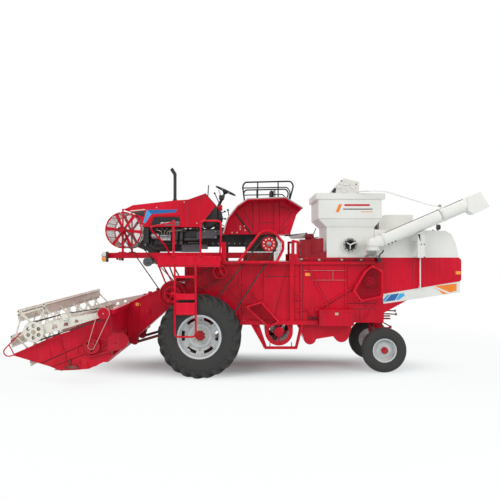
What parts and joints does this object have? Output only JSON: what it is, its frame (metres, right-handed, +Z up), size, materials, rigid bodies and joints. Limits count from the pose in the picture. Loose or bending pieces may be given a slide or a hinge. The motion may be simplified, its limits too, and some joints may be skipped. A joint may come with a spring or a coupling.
{
  "type": "tractor-mounted combine harvester",
  "caption": "Self-propelled grain combine with cutting header, tined reel, feeder, threshing body, grain tank, swinging unloader and a wheel-less tractor on top as engine and driver's station.",
  "frame": {"origin": "on the ground under the centre of the outline's bounding box", "axes": "-X is the machine's front, -Y its left side, +Z up; its length lies along X"},
  "size_m": [8.178, 3.88, 3.7762],
  "materials": {
    "red_paint": "gloss red enamel on sheet steel",
    "white_paint": "gloss off-white enamel",
    "cream_paint": "cream enamel, worn at edges",
    "black_paint": "black enamel on tube",
    "dark_steel": "dark red primer and grime on castings",
    "engine_grey": "dark grey painted castings",
    "rim_silver": "silver wheel enamel",
    "bright_steel": "bare working steel",
    "chrome_rod": "hard chrome cylinder rod",
    "tyre": "dusty black tyre rubber",
    "belt_rubber": "worn belt rubber",
    "black_plastic": "textured black plastic",
    "seat_vinyl": "black seat vinyl",
    "lamp_glass": "orange and clear lamp lenses"
  },
  "bodies": {
    "drive_wheel_left": {"tyre_drive_left": "tyre", "rim_drive_left": "rim_silver"},
    "drive_wheel_right": {"tyre_drive_right": "tyre", "rim_drive_right": "rim_silver"},
    "rear_wheel_left": {"tyre_rear_left": "tyre", "rim_rear_left": "rim_silver"},
    "rear_wheel_right": {"tyre_rear_right": "tyre", "rim_rear_right": "rim_silver"},
    "knuckle_left": {"knuckle_left": "red_paint"},
    "knuckle_right": {"knuckle_right": "red_paint"},
    "tie_rod": {"tie_rod": "dark_steel"},
    "header": {"feeder_house": "red_paint", "header_pan": "red_paint", "end_plates": "red_paint", "cutter_bar": "bright_steel", "header_drive": "red_paint"},
    "header_auger": {"header_auger": "red_paint"},
    "reel_arms": {"reel_arms": "cream_paint"},
    "reel": {"reel_frame": "cream_paint", "reel_bats": "cream_paint"},
    "lift_barrels": {"lift_barrels": "red_paint"},
    "lift_rods": {"lift_rods": "chrome_rod"},
    "unloader": {"unloader_tube": "white_paint", "unloader_stay": "bright_steel"},
    "drum_screen": {"drum_screen": "red_paint"},
    "fan_rotor": {"fan_rotor": "red_paint"},
    "chassis": {"drive_axle": "dark_steel", "rear_axle": "red_paint", "body_sides": "red_paint", "body_plates": "red_paint", "body_floor": "red_paint", "side_frames": "red_paint", "pivot_rings": "red_paint", "cradle": "red_paint", "platform": "red_paint", "handrails": "black_paint", "ladder": "red_paint", "fan_housing": "red_paint", "guards": "red_paint", "lower_troughs": "red_paint", "tool_box": "red_paint", "grain_tank": "white_paint", "auger_head": "white_paint", "grain_elevator": "red_paint", "elbow_base": "white_paint", "hood_cover": "white_paint", "straw_hood": "red_paint", "hood_skirts": "white_paint", "drawbar": "red_paint", "unloader_saddle": "dark_steel", "tractor_hood": "red_paint", "engine": "engine_grey", "transmission": "engine_grey", "screen_mount": "red_paint", "steering": "black_plastic", "seat": "seat_vinyl", "fenders": "red_paint", "belts": "belt_rubber", "pulleys": "red_paint", "lamps": "lamp_glass"}
  },
  "joints": [
    {"name": "drive_left_spin", "type": "hinge", "parent": "chassis", "child": "drive_wheel_left", "pos_m": [-0.975, -1.1, 0.715], "axis": [0, 1, 0], "continuous": true},
    {"name": "drive_right_spin", "type": "hinge", "parent": "chassis", "child": "drive_wheel_right", "pos_m": [-0.975, 1.1, 0.715], "axis": [0, 1, 0], "continuous": true},
    {"name": "steer_left", "type": "hinge", "parent": "chassis", "child": "knuckle_left", "pos_m": [2.3, -0.47, 0.402], "axis": [0, 0, 1], "range_deg": [-28, 28]},
    {"name": "steer_right", "type": "hinge", "parent": "chassis", "child": "knuckle_right", "pos_m": [2.3, 0.47, 0.402], "axis": [0, 0, 1], "range_deg": [-28, 28]},
    {"name": "tie_rod_swing", "type": "hinge", "parent": "knuckle_left", "child": "tie_rod", "pos_m": [2.47, -0.47, 0.797], "axis": [0, 0, 1], "range_deg": [-28, 28]},
    {"name": "rear_left_spin", "type": "hinge", "parent": "knuckle_left", "child": "rear_wheel_left", "pos_m": [2.3, -0.7, 0.402], "axis": [0, 1, 0], "continuous": true},
    {"name": "rear_right_spin", "type": "hinge", "parent": "knuckle_right", "child": "rear_wheel_right", "pos_m": [2.3, 0.7, 0.402], "axis": [0, 1, 0], "continuous": true},
    {"name": "header_lift", "type": "hinge", "parent": "chassis", "child": "header", "pos_m": [-1.5, 0, 1.4], "axis": [0, 1, 0], "range_deg": [-8, 15]},
    {"name": "header_auger_spin", "type": "hinge", "parent": "header", "child": "header_auger", "pos_m": [-2.76, 0, 0.59], "axis": [0, 1, 0], "continuous": true},
    {"name": "reel_lift", "type": "hinge", "parent": "header", "child": "reel_arms", "pos_m": [-2.438, 0, 1.19], "axis": [0, 1, 0], "range_deg": [0, 12]},
    {"name": "reel_spin", "type": "hinge", "parent": "reel_arms", "child": "reel", "pos_m": [-3.556, 0, 0.895], "axis": [0, 1, 0], "continuous": true},
    {"name": "lift_barrel_tilt", "type": "hinge", "parent": "chassis", "child": "lift_barrels", "pos_m": [-1.18, 0, 0.8], "axis": [0, 1, 0], "range_deg": [-7.12, 13.08]},
    {"name": "lift_rod_slide", "type": "slide", "parent": "lift_barrels", "child": "lift_rods", "axis": [-0.9598, 0, -0.2808], "range_m": [-0.0954, 0.1754]},
    {"name": "unloader_swing", "type": "hinge", "parent": "chassis", "child": "unloader", "pos_m": [2.068, -0.85, 2.3], "axis": [0, 0, 1], "range_deg": [-95, 0]},
    {"name": "drum_screen_spin", "type": "hinge", "parent": "chassis", "child": "drum_screen", "pos_m": [-2.455, 0, 2.568], "axis": [0, 1, 0], "continuous": true},
    {"name": "fan_spin", "type": "hinge", "parent": "chassis", "child": "fan_rotor", "pos_m": [0.415, 0, 0.719], "axis": [0, 1, 0], "continuous": true}
  ],
  "couplings": [
    {"joint": "steer_right", "follows": "steer_left", "ratio": 1},
    {"joint": "tie_rod_swing", "follows": "steer_left", "ratio": -1},
    {"joint": "lift_barrel_tilt", "follows": "header_lift", "ratio": 0.852},
    {"joint": "lift_rod_slide", "follows": "header_lift", "m_per_rad": 0.6548}
  ]
}
